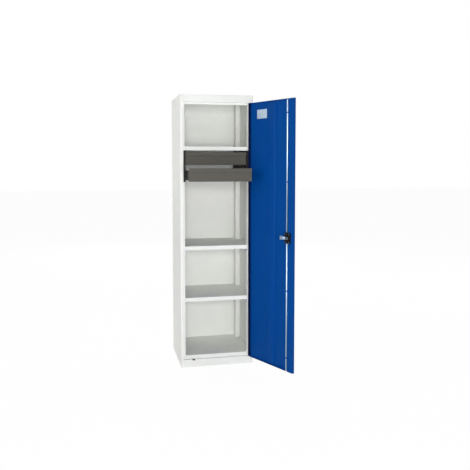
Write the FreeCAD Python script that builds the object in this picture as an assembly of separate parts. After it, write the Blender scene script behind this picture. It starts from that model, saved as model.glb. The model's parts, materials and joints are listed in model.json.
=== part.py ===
"""A tall steel tool cabinet with one swing door, three shelves, two drawers and a rod lock.

Millimetres. +X is to the right as one faces the door, +Y to the back, +Z up, and the origin is on the
floor under the middle of the carcass. The door is drawn shut and then swung open about its hinge pins,
and each drawer is drawn home and then pulled out, so the part rests half open.
"""
import FreeCAD
import Part

import math
import os

# Carcass
height = 1950.0
width = 525.0
depth = 500.0
sheet = 1.0
bend = 1.5  # inside radius of a fold
seam = 0.3  # gap between two panels that only meet
overrun = 5.0  # how far a cutting tool reaches past what it cuts

# Front frame: rim, rebate for the door, door stop and its slotted return
rim_width = 16.0
rebate_depth = 22.0
stop_width = 18.0
stop_drop = 14.0
upright_depth = 30.0
rear_upright_depth = 73.0
cap_height = 40.0
rail_height = 13.0
rail_lap = 10.0
sill_height = 54.0
floor_height = 80.0
plinth_return = 20.0
rear_flange = 15.0

# Slots of the uprights
slot_pitch = 25.0
slot_height = 14.0
slot_width = 10.0
slot_end_margin = 90.0
slot_from_face = 25.0  # from a rear upright's face to its front column of slots

# Base
base_height = 44.0
base_wall = 3.0
foot_radius = 12.0
foot_pad_height = 6.0
foot_stem_radius = 5.0
foot_stem_height = 46.0
foot_chamfer = 1.5
foot_inset = 19.5
foot_from_back = 100.0
foot_from_front = 75.0
foot_hole_radius = 10.0
foot_bracket_width = 44.0
foot_bracket_thickness = 3.0
foot_bracket_level = 30.0
thread_play = 0.1

# Holes in the rear panel for wall fixings
wall_hole_radius = 4.5
wall_hole_spacing = 300.0
wall_hole_from_top = 110.0

# Shelves
shelf_lip = 29.0
shelf_return = 14.0
shelf_front_setback = 13.0
shelf_play = 1.0
upper_shelf_from_top = 363.0
lower_shelf_top = 497.0
middle_shelf_steps = 15  # slots between the lower and the middle shelf
clip_width = 14.0
clip_reach = 13.0
clip_thickness = 3.0
clip_back_height = 18.0
clip_drop = 10.0
clip_hook_reach = 3.0
clip_hook_height = 8.0
clip_from_return = 9.0

# Drawers and their telescopic runners
drawer_front_height = 92.0
drawer_sheet = 1.2
grip_band_height = 26.0
grip_proud = 5.0
grip_slope_height = 4.0
grip_return = 9.0
front_return = 10.0
tray_length = 375.0
tray_height = 68.0
tray_lift = 6.0
tray_corner = 2.0
drawer_setback = 115.0  # from the front of the carcass to a drawer front that is home
drawer_under_shelf = 11.5
drawer_gap = 22.0  # between the two drawer fronts
upper_drawer_out = 85.0
lower_drawer_out = 260.0
upper_runner_share = 0.5  # of the drawer's travel
carrier_sheet = 1.5
carrier_stand = 6.5  # from an upright's inner face to the carrier's face
carrier_clear = 1.5  # between a drawer front's end and its carrier
carrier_below = 6.0  # the carrier reaches this far under the lower drawer
carrier_flange = 9.0  # the carrier's front fold covers this much of the door stop
rail_sheet = 1.2
slide_gap = 0.4
slide_end_gap = 1.2  # from an inner rail's flange to the middle rail's web
outer_rail_height = 45.0
outer_rail_depth = 10.0
slide_length = 365.0
slide_setback = 14.0
slide_depth = 9.4
rail_rise = 40.0
spacer_width = 20.0
spacer_height = 36.0
screw_head_radius = 4.0
screw_head_height = 1.4

# Door
door_gap = 3.5
sill_gap = 5.0
door_sheet = 1.0
door_depth = 17.0
door_open_deg = 114.0
stile_width = 55.0
stiffener_from_hinge = 203.0
stiffener_width = 96.0
stiffener_foot = 12.0
stiffener_slope = 6.0
stiffener_height = 12.0
stiffener_end_gap = 12.0
seal_thickness = 2.0
seal_foot = 8.0
plate_from_hinge = 82.0
plate_width = 108.0
plate_height = 63.0
plate_from_top = 51.5
plate_thickness = 1.0
rivet_radius = 2.5
rivet_height = 1.2
rivet_inset = 7.0
buffer_radius = 6.0
buffer_height = 4.6
buffer_inset = 12.0
buffer_level_shares = (0.08, 0.5, 0.92)  # of the door's height

# Hinges
hinge_stand = 5.0  # the pin's axis stands this far in front of the carcass
knuckle_radius = 4.5
pin_radius = 2.5
pin_play = 0.05
pin_head_radius = 3.6
pin_head_height = 2.0
leaf_sheet = 1.5
leaf_depth = 15.0
hinge_length = 70.0
knuckle_share = 1 / 3  # of the hinge's length, taken by the door's knuckle
knuckle_gap = 0.4
hinge_level_shares = (0.08, 0.5, 0.92)  # of the door's height

# Lock: case, spindle, latch blade, handle and rods
lock_level = 968.0
lock_from_edge = 56.0
case_from_edge = 24.0
case_width = 56.0
case_height = 72.0
case_depth = 25.0
case_fillet = 3.0
case_gap = 0.5
case_screw_radius = 3.2
case_screw_height = 5.0
case_screw_inset = 8.0
spindle_radius = 5.0
spindle_play = 0.3
blade_reach = 66.0
blade_tail = 12.0
blade_tip_width = 27.0
blade_tail_width = 13.0
blade_thickness = 3.0
blade_gap = 0.4
blade_corner = 2.0
blade_screw_radius = 7.0
blade_screw_height = 4.0
blade_slot_margin = 3.0
handle_base_width = 54.0
handle_base_height = 150.0
handle_base_depth = 6.0
handle_base_fillet = 2.0
handle_hub_radius = 18.0
handle_hub_depth = 24.0
handle_gap = 0.4
lever_length = 118.0
lever_width = 24.0
lever_tip_width = 18.0
lever_thickness = 12.0
lever_fillet = 3.0
plug_radius = 9.0
plug_depth = 16.0
plug_play = 0.3
plug_proud = 1.0
keyway_width = 1.6
keyway_height = 8.0
keyway_depth = 6.0
rod_from_edge = 70.0
rod_radius = 6.0
rod_play = 0.3
rod_end_gap = 6.0  # from a rod's tip, unlocked, to the end of the door
rod_in_case = 23.0
rod_bore_end = 12.0  # from the spindle's axis to the end of a rod's bore
rod_tip_fillet = 2.5
rod_stand = 8.0  # from the door panel's inner face to the rod's axis
guide_width = 24.0
guide_thickness = 8.0
guide_level_shares = (0.05, 0.3, 0.7, 0.95)  # of the door's height
keeper_width = 34.0
keeper_height = 9.0
strike_slot_width = 19.0
strike_notch = 8.0  # height of the sill slot's opening in the plinth's front

# Places that follow from the sizes above
half_width = width / 2
front = -depth / 2
back = depth / 2
inner_x = half_width - sheet
rim_x = half_width - rim_width
clear_x = rim_x - stop_width
stop_y = front + rebate_depth
return_y = stop_y + upright_depth
rear_inside = back - sheet
upright_y = rear_inside - rear_upright_depth
under_top = height - sheet
cap_bottom = height - cap_height
rail_bottom = cap_bottom - rail_height
wall_hole_level = height - wall_hole_from_top
upper_shelf_top = height - upper_shelf_from_top
middle_shelf_top = lower_shelf_top + middle_shelf_steps * slot_pitch
shelf_front = stop_y + shelf_front_setback
shelf_back = rear_inside - shelf_play
door_x = rim_x - door_gap
door_top = rail_bottom - door_gap
door_bottom = sill_height + sill_gap
plate_level = door_top - plate_from_top - plate_height
door_skin_y = front + door_sheet
door_lip_y = front + door_depth
hinge_x = rim_x - door_gap / 2
hinge_y = front - hinge_stand
lock_x = -door_x + lock_from_edge
rod_x = -door_x + rod_from_edge
rod_y = door_skin_y + rod_stand
case_y = door_skin_y + case_depth
blade_y = case_y + blade_gap
carrier_x = clear_x - carrier_stand
drawer_x = carrier_x - carrier_clear
carrier_top = upper_shelf_top - shelf_lip
upper_drawer_level = carrier_top - drawer_under_shelf - drawer_front_height
lower_drawer_level = upper_drawer_level - drawer_gap - drawer_front_height
carrier_bottom = lower_drawer_level - carrier_below
carrier_front = stop_y - seam - carrier_sheet
home_y = front + drawer_setback
middle_x = carrier_x - rail_sheet - slide_gap
slide_y = home_y + slide_setback
inner_rail_x = middle_x - rail_sheet - slide_end_gap
tray_x = middle_x - slide_depth - rail_sheet


def vec(x, y, z=0.0):
    return FreeCAD.Vector(x, y, z)


def block(x0, x1, y0, y1, z0, z1):
    """A box between two corners, given in any order."""
    low = vec(min(x0, x1), min(y0, y1), min(z0, z1))
    return Part.makeBox(abs(x1 - x0), abs(y1 - y0), abs(z1 - z0), low)


def upright_round(radius, x, y, z0, z1):
    """A cylinder that stands along Z."""
    return Part.makeCylinder(radius, z1 - z0, vec(x, y, z0), vec(0, 0, 1))


def through_round(radius, x, z, y0, y1):
    """A cylinder that lies along Y."""
    return Part.makeCylinder(radius, y1 - y0, vec(x, y0, z), vec(0, 1, 0))


def joined(shapes):
    """One solid from shapes that touch or overlap."""
    return shapes[0].fuse(shapes[1:]).removeSplitter()


def mirrored(shape):
    """The same piece for the other side of the cabinet."""
    return shape.mirror(vec(0, 0, 0), vec(1, 0, 0))


def swung(shape):
    """A piece of the door, turned with it about the hinge pins."""
    turned = shape.copy()
    turned.rotate(vec(hinge_x, hinge_y, 0), vec(0, 0, 1), door_open_deg)
    return turned


def pulled(shape, distance):
    """A piece of a drawer or runner, pulled out of the cabinet."""
    moved = shape.copy()
    moved.translate(vec(0, -distance, 0))
    return moved


def save(name, shapes):
    """Write a node: one solid, or a group of separate ones."""
    node = shapes[0] if len(shapes) == 1 else Part.makeCompound(shapes)
    node.exportStep("parts/" + name + ".step")


def moved_right(points, gap):
    """An open line, moved sideways to the right of its direction."""
    moved = []
    for i, point in enumerate(points):
        ends = points[max(i - 1, 0):i + 2]
        normals = []
        for first, last in zip(ends, ends[1:]):
            along = (last - first).normalize()
            normals.append(vec(along.y, -along.x))
        shift = normals[0] + normals[-1]
        moved.append(point + shift * (gap / (1 + normals[0].dot(normals[-1]))))
    return moved


def rounded_line(points, radii):
    """Edges along an open line, with an arc at each corner."""
    edges = []
    start = points[0]
    for before, corner, after, radius in zip(points, points[1:], points[2:], radii):
        into = (corner - before).normalize()
        out = (after - corner).normalize()
        half_turn = into.getAngle(out) / 2
        reach = radius * math.tan(half_turn)
        first = corner - into * reach
        last = corner + out * reach
        sag = radius / math.cos(half_turn) - radius
        middle = corner + (out - into).normalize() * sag
        edges.append(Part.LineSegment(start, first).toShape())
        edges.append(Part.Arc(first, middle, last).toShape())
        start = last
    edges.append(Part.LineSegment(start, points[-1]).toShape())
    return edges


def folded(corners, thickness):
    """The section of a folded sheet: its corners run along one face, with the metal on their right."""
    near = [vec(u, v) for u, v in corners]
    far = moved_right(near, thickness)
    near_radii = []
    far_radii = []
    for before, corner, after in zip(near, near[1:], near[2:]):
        turns_right = (corner - before).cross(after - corner).z < 0
        near_radii.append(bend + thickness if turns_right else bend)
        far_radii.append(bend if turns_right else bend + thickness)
    edges = rounded_line(near, near_radii) + rounded_line(far, far_radii)
    edges.append(Part.LineSegment(near[0], far[0]).toShape())
    edges.append(Part.LineSegment(near[-1], far[-1]).toShape())
    return Part.Face(Part.Wire(Part.__sortEdges__(edges)))


# A section's two coordinates are (y, z) for a run along X, (z, x) along Y and (x, y) along Z.
ALONG = {
    "x": FreeCAD.Matrix(0, 0, 1, 0, 1, 0, 0, 0, 0, 1, 0, 0),
    "y": FreeCAD.Matrix(0, 1, 0, 0, 0, 0, 1, 0, 1, 0, 0, 0),
    "z": FreeCAD.Matrix(),
}


def run(section, along, start, end):
    """A section drawn out along an axis, between two places on it."""
    solid = section.extrude(vec(0, 0, end - start))
    solid.translate(vec(0, 0, start))
    solid.transformShape(ALONG[along])
    return solid


def slot_levels(low, high):
    """Heights of the slots between two levels, in step with the shelves' clips."""
    first_clip = lower_shelf_top - shelf_lip - clip_drop
    first = math.ceil((low - first_clip) / slot_pitch)
    last = math.floor((high - first_clip) / slot_pitch)
    return [first_clip + step * slot_pitch for step in range(first, last + 1)]


def slots(y, low, high):
    """Cutting tools for a column of slots through a right-hand upright's inner wall."""
    tools = []
    for level in slot_levels(low + slot_end_margin, high - slot_end_margin):
        z0 = level - slot_height / 2
        tools.append(block(clear_x - overrun, clear_x + overrun, y - slot_width / 2, y + slot_width / 2,
                           z0, z0 + slot_height))
    return Part.makeCompound(tools)


def side_panel():
    """Right side wall with the rim folded across the front."""
    section = folded([(half_width, back), (half_width, front), (rim_x, front)], sheet)
    return run(section, "z", 0, under_top)


def rear_panel():
    """Rear wall with narrow flanges inside the side walls and two holes for wall fixings."""
    flange_y = back - rear_flange
    section = folded([(-inner_x, flange_y), (-inner_x, back), (inner_x, back), (inner_x, flange_y)], sheet)
    panel = run(section, "z", 0, under_top)
    for x in (-wall_hole_spacing / 2, wall_hole_spacing / 2):
        panel = panel.cut(through_round(wall_hole_radius, x, wall_hole_level, back - overrun, back + overrun))
    return panel


def top_panel():
    """Roof with the front cap folded down between the rims."""
    section = folded([(front, cap_bottom), (front, height), (back, height)], sheet)
    middle = run(section, "x", -rim_x + seam, rim_x - seam)
    behind_rim = front + sheet + bend
    roof = block(-half_width, half_width, behind_rim, back, under_top, height)
    return joined([middle, roof])


def top_rail():
    """Rail under the cap: front face, roof of the rebate and door stop, with the upper rod's slot."""
    face_y = front + sheet
    full = folded([(stop_y, rail_bottom - stop_drop), (stop_y, rail_bottom), (face_y, rail_bottom),
                   (face_y, cap_bottom + rail_lap)], sheet)
    ends = folded([(stop_y, rail_bottom), (face_y, rail_bottom), (face_y, cap_bottom + rail_lap)], sheet)
    rail = joined([run(ends, "x", -rim_x + seam, rim_x - seam), run(full, "x", -clear_x + seam, clear_x - seam)])
    return rail.cut(strike_slot(rail_bottom))


def strike_slot(level):
    """Cutting tool for the slot that takes a lock rod's tip."""
    reach = rod_radius + rod_play
    return block(rod_x - strike_slot_width / 2, rod_x + strike_slot_width / 2, rod_y - reach, rod_y + reach,
                 level - sheet - overrun, level + sheet + overrun)


def front_post():
    """Right post: wall of the rebate, door stop, and the slotted return that faces the inside."""
    section = folded([(rim_x, front + sheet), (rim_x, stop_y), (clear_x, stop_y), (clear_x, return_y)], sheet)
    post = run(section, "z", sill_height, rail_bottom)
    return post.cut(slots(return_y - clip_from_return, sill_height, rail_bottom))


def left_front_post():
    """Left post, with the opening that the latch blade turns into from below."""
    post = mirrored(front_post())
    half_tip = blade_tip_width / 2
    to_wall = lock_x + clear_x
    corner_reach = math.hypot(blade_reach, half_tip)
    sweep = math.sqrt(max(corner_reach ** 2 - to_wall ** 2, half_tip ** 2))
    opening = block(-clear_x - overrun, -clear_x + overrun, blade_y - blade_slot_margin,
                    blade_y + blade_thickness + blade_slot_margin,
                    lock_level - sweep - blade_slot_margin, lock_level + half_tip + blade_slot_margin)
    return post.cut(opening)


def rear_upright():
    """Right rear upright: a face towards the door and a wall back to the rear panel with two columns of slots."""
    section = folded([(inner_x, upright_y), (clear_x, upright_y), (clear_x, rear_inside)], sheet)
    upright = run(section, "z", floor_height, under_top)
    for y in (upright_y + slot_from_face, rear_clip_y()):
        upright = upright.cut(slots(y, floor_height, under_top))
    return upright


def rear_clip_y():
    """Depth at which the rear clips hook in, over the rear return of a shelf."""
    return shelf_back - clip_from_return


def plinth_front():
    """Plinth with its sill ledge, and the slot for the lower lock rod, open to the front."""
    section = folded([(front + plinth_return, 0), (front, 0), (front, sill_height), (stop_y, sill_height)], sheet)
    plinth = run(section, "x", -rim_x + seam, rim_x - seam)
    notch = block(rod_x - strike_slot_width / 2, rod_x + strike_slot_width / 2, front - overrun, rod_y,
                  sill_height - strike_notch, sill_height + overrun)
    return plinth.cut([strike_slot(sill_height), notch])


def foot_places():
    """Plan positions of the four levelling feet."""
    x = half_width - foot_inset
    return [(side * x, y) for side in (-1, 1) for y in (front + foot_from_front, back - foot_from_back)]


def floor_panel():
    """Floor with its front lip down to the sill, and holes over the levelling feet."""
    section = folded([(stop_y, sill_height), (stop_y, floor_height), (return_y + overrun, floor_height)], sheet)
    lip = run(section, "x", -clear_x + seam, clear_x - seam)
    edge = inner_x - sheet - bend
    plate = block(-edge, edge, return_y + seam, rear_inside, floor_height - sheet, floor_height)
    panel = joined([lip, plate])
    for x, y in foot_places():
        panel = panel.cut(upright_round(foot_hole_radius, x, y, floor_height - overrun, floor_height + overrun))
    return panel


def base_frame():
    """Ring of flat bar under the floor, on which the cabinet stands."""
    x = inner_x - sheet - bend
    y0 = front + plinth_return
    outside = block(-x, x, y0, rear_inside, 0, base_height)
    inside = block(-x + base_wall, x - base_wall, y0 + base_wall, rear_inside - base_wall, -overrun,
                   base_height + overrun)
    return outside.cut(inside)


def foot_brackets():
    """Plates from the base frame's side walls that carry the feet."""
    brackets = []
    wall_x = inner_x - sheet - bend - base_wall
    for x, y in foot_places():
        side = math.copysign(1, x)
        plate = block(side * wall_x, side * (wall_x - foot_bracket_width), y - foot_bracket_width / 2,
                      y + foot_bracket_width / 2, foot_bracket_level, foot_bracket_level + foot_bracket_thickness)
        hole = upright_round(foot_stem_radius + thread_play, x, y, foot_bracket_level - overrun,
                             foot_bracket_level + overrun)
        brackets.append(plate.cut(hole))
    return brackets


def levelling_feet():
    """Screwed feet, set level with the base frame's underside."""
    feet = []
    for x, y in foot_places():
        pad = upright_round(foot_radius, x, y, 0, foot_pad_height)
        pad = pad.makeChamfer(foot_chamfer, [edge for edge in pad.Edges if edge.CenterOfMass.z > 0
                                             and len(edge.Vertexes) == 1])
        stem = upright_round(foot_stem_radius, x, y, foot_pad_height - foot_chamfer, foot_stem_height)
        feet.append(joined([pad, stem]))
    return feet


def shelf(top):
    """Shelf with deep lips, narrowed at the front and back to pass between the uprights."""
    low = top - shelf_lip
    side_x = inner_x - sheet - shelf_play
    tab_x = clear_x - shelf_play
    front_step = return_y + shelf_play
    back_step = upright_y - shelf_play
    front_lip = folded([(shelf_front + shelf_return, low), (shelf_front, low), (shelf_front, top),
                        (front_step + overrun, top)], sheet)
    back_lip = folded([(back_step - overrun, top), (shelf_back, top), (shelf_back, low),
                       (shelf_back - shelf_return, low)], sheet)
    sides = folded([(low, side_x), (top, side_x), (top, -side_x), (low, -side_x)], sheet)
    return joined([run(sides, "y", front_step, back_step), run(front_lip, "x", -tab_x, tab_x),
                   run(back_lip, "x", -tab_x, tab_x)])


def shelf_clip(top, y):
    """Right clip: a tongue under the shelf's lip, a back and a hook through the upright's slot."""
    seat = top - shelf_lip
    y0 = y - clip_width / 2
    y1 = y + clip_width / 2
    tongue = block(clear_x - clip_reach, clear_x, y0, y1, seat - clip_thickness, seat)
    back_plate = block(clear_x - clip_thickness, clear_x, y0, y1, seat - clip_back_height, seat)
    hook_half = slot_width / 2 - seam
    hook_z = seat - clip_drop
    hook = block(clear_x - clip_thickness, clear_x + clip_hook_reach, y - hook_half, y + hook_half,
                 hook_z - clip_hook_height / 2, hook_z + clip_hook_height / 2)
    return joined([tongue, back_plate, hook])


def shelf_clips():
    """Four clips under each of the two lower shelves."""
    clips = []
    for top in (lower_shelf_top, middle_shelf_top):
        for y in (return_y - clip_from_return, rear_clip_y()):
            clip = shelf_clip(top, y)
            clips += [clip, mirrored(clip)]
    return clips


def drawer_carrier():
    """Right carrier of the drawer rails, which also bears the upper shelf, with its front fold over the door stop."""
    section = folded([(carrier_top, clear_x - seam), (carrier_top, carrier_x), (carrier_bottom, carrier_x),
                      (carrier_bottom, clear_x - seam)], carrier_sheet)
    fold = block(carrier_x, clear_x + carrier_flange, carrier_front, carrier_front + carrier_sheet, carrier_bottom,
                 carrier_top)
    return joined([run(section, "y", carrier_front, shelf_back), fold])


def carrier_screw_level():
    """Height between the two drawers, where the carriers are screwed on."""
    return (lower_drawer_level + drawer_front_height + upper_drawer_level) / 2


def carrier_fixings():
    """Spacers between the carriers and the uprights, and the screws that hold them."""
    spacers = []
    screws = []
    z = carrier_screw_level()
    for y in (return_y - clip_from_return - spacer_width / 2, rear_clip_y()):
        spacer = block(carrier_x + carrier_sheet, clear_x, y - spacer_width / 2, y + spacer_width / 2,
                       z - spacer_height / 2, z + spacer_height / 2)
        head = Part.makeCylinder(screw_head_radius, screw_head_height, vec(carrier_x, y, z), vec(-1, 0, 0))
        spacers += [spacer, mirrored(spacer)]
        screws += [head, mirrored(head)]
    return spacers, screws


def rail_pair(corners, y0, y1):
    """A folded rail drawn along the cabinet's depth, and its twin on the left."""
    rail = run(folded(corners, rail_sheet), "y", y0, y1)
    return [rail, mirrored(rail)]


def outer_rails(level):
    """Fixed channels of a pair of runners."""
    z = level + rail_rise
    half = outer_rail_height / 2
    open_x = carrier_x - outer_rail_depth
    return rail_pair([(z - half, open_x), (z - half, carrier_x), (z + half, carrier_x), (z + half, open_x)],
                     slide_y, slide_y + slide_length)


def middle_rails(level):
    """Middle channels, nested in the outer ones, in the drawer's home position."""
    z = level + rail_rise
    half = outer_rail_height / 2 - rail_sheet - slide_gap
    open_x = middle_x - slide_depth
    return rail_pair([(z - half, open_x), (z - half, middle_x), (z + half, middle_x), (z + half, open_x)],
                     slide_y, slide_y + slide_length)


def inner_rails(level):
    """Channels on the tray's sides, nested in the middle ones, in the home position."""
    z = level + rail_rise
    half = outer_rail_height / 2 - 2 * (rail_sheet + slide_gap)
    return rail_pair([(z + half, inner_rail_x), (z + half, tray_x), (z - half, tray_x), (z - half, inner_rail_x)],
                     slide_y, slide_y + slide_length)


def drawer_front(level):
    """Folded front with a grip band along its top edge, in the home position."""
    top = level + drawer_front_height
    band_bottom = top - grip_band_height
    grip_y = home_y - grip_proud
    section = folded([(home_y + front_return, level), (home_y, level),
                      (home_y, band_bottom - grip_slope_height), (grip_y, band_bottom), (grip_y, top),
                      (grip_y + grip_return, top)], drawer_sheet)
    return run(section, "x", -drawer_x, drawer_x)


def drawer_tray(level):
    """Open tray behind a drawer front, in the home position."""
    z0 = level + tray_lift
    y0 = home_y + drawer_sheet
    outside = block(-tray_x, tray_x, y0, y0 + tray_length, z0, z0 + tray_height)
    low_edges = [edge for edge in outside.Edges if edge.BoundBox.ZMax < z0 + tray_corner
                 and edge.BoundBox.YLength > tray_corner]
    outside = outside.makeFillet(tray_corner, low_edges)
    inside = block(-tray_x + drawer_sheet, tray_x - drawer_sheet, y0 + drawer_sheet,
                   y0 + tray_length - drawer_sheet, z0 + drawer_sheet, z0 + tray_height + overrun)
    return outside.cut(inside)


def hinge_levels():
    """Heights of the middles of the hinges."""
    return [door_bottom + share * (door_top - door_bottom) for share in hinge_level_shares]


def knuckle(z0, z1):
    """A length of hinge barrel about the pin."""
    barrel = upright_round(knuckle_radius, hinge_x, hinge_y, z0, z1)
    bore = upright_round(pin_radius + pin_play, hinge_x, hinge_y, z0 - overrun, z1 + overrun)
    return barrel, bore


def hinge_leaf(level, outer):
    """A leaf in the gap beside the door with its knuckles: two outer ones, or the one between them."""
    half = hinge_length / 2
    split = half * knuckle_share
    gap = knuckle_gap / 2
    if outer:
        spans = [(level - half, level - split - gap), (level + split + gap, level + half)]
        x0 = rim_x - leaf_sheet
    else:
        spans = [(level - split + gap, level + split - gap)]
        x0 = door_x
    clear_y = hinge_y + knuckle_radius + slide_gap
    pieces = [block(x0, x0 + leaf_sheet, clear_y, front + leaf_depth, level - half, level + half)]
    for z0, z1 in spans:
        barrel, bore = knuckle(z0, z1)
        neck = block(x0, x0 + leaf_sheet, hinge_y, clear_y, z0, z1)
        pieces.append(joined([barrel, neck]).cut(bore))
    return joined(pieces)


def hinge_pin(level):
    """Pin with a head on the upper knuckle."""
    half = hinge_length / 2
    pin = upright_round(pin_radius, hinge_x, hinge_y, level - half, level + half)
    head = upright_round(pin_head_radius, hinge_x, hinge_y, level + half, level + half + pin_head_height)
    return joined([pin, head])


def rod_keepers():
    """Guides behind the sill's slot and the top rail's slot."""
    keepers = []
    y0 = front + 2 * sheet + bend + seam
    for z0, z1 in ((sill_height - sheet - keeper_height, sill_height - sheet),
                   (rail_bottom + sheet, rail_bottom + sheet + keeper_height)):
        body = block(rod_x - keeper_width / 2, rod_x + keeper_width / 2, y0, stop_y, z0, z1)
        hole = upright_round(rod_radius + 2 * rod_play, rod_x, rod_y, z0 - overrun, z1 + overrun)
        keepers.append(body.cut(hole))
    return keepers


def door_panel():
    """Flat outer skin of the door, with the hole for the lock's spindle."""
    skin = block(-door_x, door_x, front, door_skin_y, door_bottom, door_top)
    hole = through_round(spindle_radius + spindle_play, lock_x, lock_level, front - overrun, door_skin_y + overrun)
    return skin.cut(hole)


def door_end_flange(level):
    """Top or bottom edge of the door pan, with the hole for a lock rod."""
    flange = block(-door_x, door_x, door_skin_y, door_lip_y, level, level + door_sheet)
    hole = upright_round(rod_radius + rod_play, rod_x, rod_y, level - overrun, level + overrun)
    return flange.cut(hole)


def door_hinge_flange():
    """Hinge-side edge of the door pan."""
    return block(door_x - door_sheet, door_x, door_skin_y, door_lip_y, door_bottom + door_sheet,
                 door_top - door_sheet)


def door_seal():
    """Rubber angle in the corner of the hinge flange."""
    x1 = door_x - door_sheet
    z0 = door_bottom + door_sheet
    z1 = door_top - door_sheet
    lip = block(x1 - seal_thickness, x1, door_skin_y, door_lip_y, z0, z1)
    foot = block(x1 - seal_foot, x1, door_skin_y, door_skin_y + seal_thickness, z0, z1)
    return joined([lip, foot])


def door_lock_stile():
    """Box profile along the lock side, cut away round the lock case."""
    section = folded([(-door_x, door_skin_y), (-door_x, door_lip_y), (-door_x + stile_width, door_lip_y),
                      (-door_x + stile_width, door_skin_y)], door_sheet)
    stile = run(section, "z", door_bottom + door_sheet, door_top - door_sheet)
    case_x0 = -door_x + case_from_edge
    notch = block(case_x0 - case_gap, case_x0 + case_width, door_skin_y - overrun, case_y + overrun,
                  lock_level - case_height / 2 - case_gap, lock_level + case_height / 2 + case_gap)
    return stile.cut(notch)


def door_stiffener():
    """Hat profile up the middle of the door's inside."""
    x0 = door_x - stiffener_from_hinge
    x1 = x0 - stiffener_foot
    x2 = x1 - stiffener_slope
    x5 = x0 - stiffener_width
    x4 = x5 + stiffener_foot
    x3 = x4 + stiffener_slope
    foot_y = door_skin_y + door_sheet
    crown_y = door_skin_y + stiffener_height
    section = folded([(x0, foot_y), (x1, foot_y), (x2, crown_y), (x3, crown_y), (x4, foot_y), (x5, foot_y)][::-1],
                     door_sheet)
    return run(section, "z", door_bottom + stiffener_end_gap, door_top - stiffener_end_gap)


def door_plate():
    """Small bare plate riveted inside the door, near its top."""
    x1 = door_x - plate_from_hinge
    x0 = x1 - plate_width
    face_y = door_skin_y + plate_thickness
    plate = block(x0, x1, door_skin_y, face_y, plate_level, plate_level + plate_height)
    rivets = []
    for x in (x0 + rivet_inset, x1 - rivet_inset):
        for z in (plate_level + rivet_inset, plate_level + plate_height - rivet_inset):
            rivets.append(through_round(rivet_radius, x, z, face_y, face_y + rivet_height))
    return plate, rivets


def door_buffers():
    """Rubber buffers on the lock stile, which meet the door stop."""
    x = -door_x + buffer_inset
    levels = [door_bottom + share * (door_top - door_bottom) for share in buffer_level_shares]
    return [through_round(buffer_radius, x, z, door_lip_y, door_lip_y + buffer_height) for z in levels]


def case_screw_places():
    """Places of the lock case's four screws, as (x, z)."""
    x0 = -door_x + case_from_edge + case_screw_inset
    x1 = -door_x + case_from_edge + case_width - case_screw_inset
    reach = case_height / 2 - case_screw_inset
    return [(x, lock_level + rise) for x in (x0, x1) for rise in (-reach, reach)]


def lock_case():
    """Lock housing, bored for the spindle and the inner ends of the rods."""
    x0 = -door_x + case_from_edge
    z0 = lock_level - case_height / 2
    z1 = lock_level + case_height / 2
    case = block(x0, x0 + case_width, door_skin_y, case_y, z0, z1)
    case = case.makeFillet(case_fillet, [edge for edge in case.Edges if edge.CenterOfMass.y > case_y - seam])
    case = case.cut(through_round(spindle_radius + spindle_play, lock_x, lock_level, door_skin_y - overrun,
                                  case_y + overrun))
    for low, high in ((z0 - overrun, lock_level - rod_bore_end), (lock_level + rod_bore_end, z1 + overrun)):
        case = case.cut(upright_round(rod_radius + rod_play, rod_x, rod_y, low, high))
    for x, z in case_screw_places():
        case = case.cut(through_round(case_screw_radius, x, z, case_y - case_screw_height, case_y + overrun))
    return case


def case_screws():
    """Sunk heads of the lock case's screws."""
    return [through_round(case_screw_radius - seam, x, z, case_y - case_screw_height, case_y)
            for x, z in case_screw_places()]


def rod_guides():
    """Blocks on the door's inside that the rods slide through."""
    guides = []
    for share in guide_level_shares:
        z = door_bottom + share * (door_top - door_bottom)
        y1 = rod_y + guide_width / 2 - rod_play
        body = block(rod_x - guide_width / 2, rod_x + guide_width / 2, door_skin_y, min(y1, door_lip_y),
                     z - guide_thickness / 2, z + guide_thickness / 2)
        edge = -door_x + stile_width
        body = body.cut(block(edge, edge - guide_width, door_skin_y - overrun, door_lip_y + overrun,
                              z - guide_thickness, z + guide_thickness))
        guides.append(body.cut(upright_round(rod_radius + rod_play, rod_x, rod_y, z - guide_thickness,
                                             z + guide_thickness)))
    return guides


def lock_rod(tip, inner):
    """A lock rod between its rounded tip and its end in the lock case."""
    rod = upright_round(rod_radius, rod_x, rod_y, min(tip, inner), max(tip, inner))
    tip_edges = [edge for edge in rod.Edges if len(edge.Vertexes) == 1 and abs(edge.CenterOfMass.z - tip) < seam]
    return rod.makeFillet(rod_tip_fillet, tip_edges)


def latch_blade():
    """Blade that turns behind the door stop, wide at its tip, with a short tail past the spindle."""
    tip = blade_tip_width / 2
    tail = blade_tail_width / 2
    outline = [(lock_x + blade_reach, lock_level - tip), (lock_x + blade_reach, lock_level + tip),
               (lock_x - blade_tail, lock_level + tail), (lock_x - blade_tail, lock_level - tail)]
    corners = [vec(x, blade_y, z) for x, z in outline]
    face = Part.Face(Part.makePolygon(corners + corners[:1]))
    blade = face.extrude(vec(0, blade_thickness, 0))
    blade = blade.makeFillet(blade_corner, [edge for edge in blade.Edges if edge.BoundBox.YLength > blade_gap])
    return blade.cut(through_round(spindle_radius, lock_x, lock_level, blade_y - overrun,
                                   blade_y + blade_thickness + overrun))


def handle_base():
    """Escutcheon on the outside of the door."""
    y0 = front - handle_base_depth
    plate = block(lock_x - handle_base_width / 2, lock_x + handle_base_width / 2, y0, front,
                  lock_level - handle_base_height / 2, lock_level + handle_base_height / 2)
    plate = plate.makeFillet(handle_base_fillet, [edge for edge in plate.Edges
                                                  if edge.CenterOfMass.y < front - seam])
    return plate.cut(through_round(spindle_radius + spindle_play, lock_x, lock_level, y0 - overrun, front + overrun))


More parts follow.
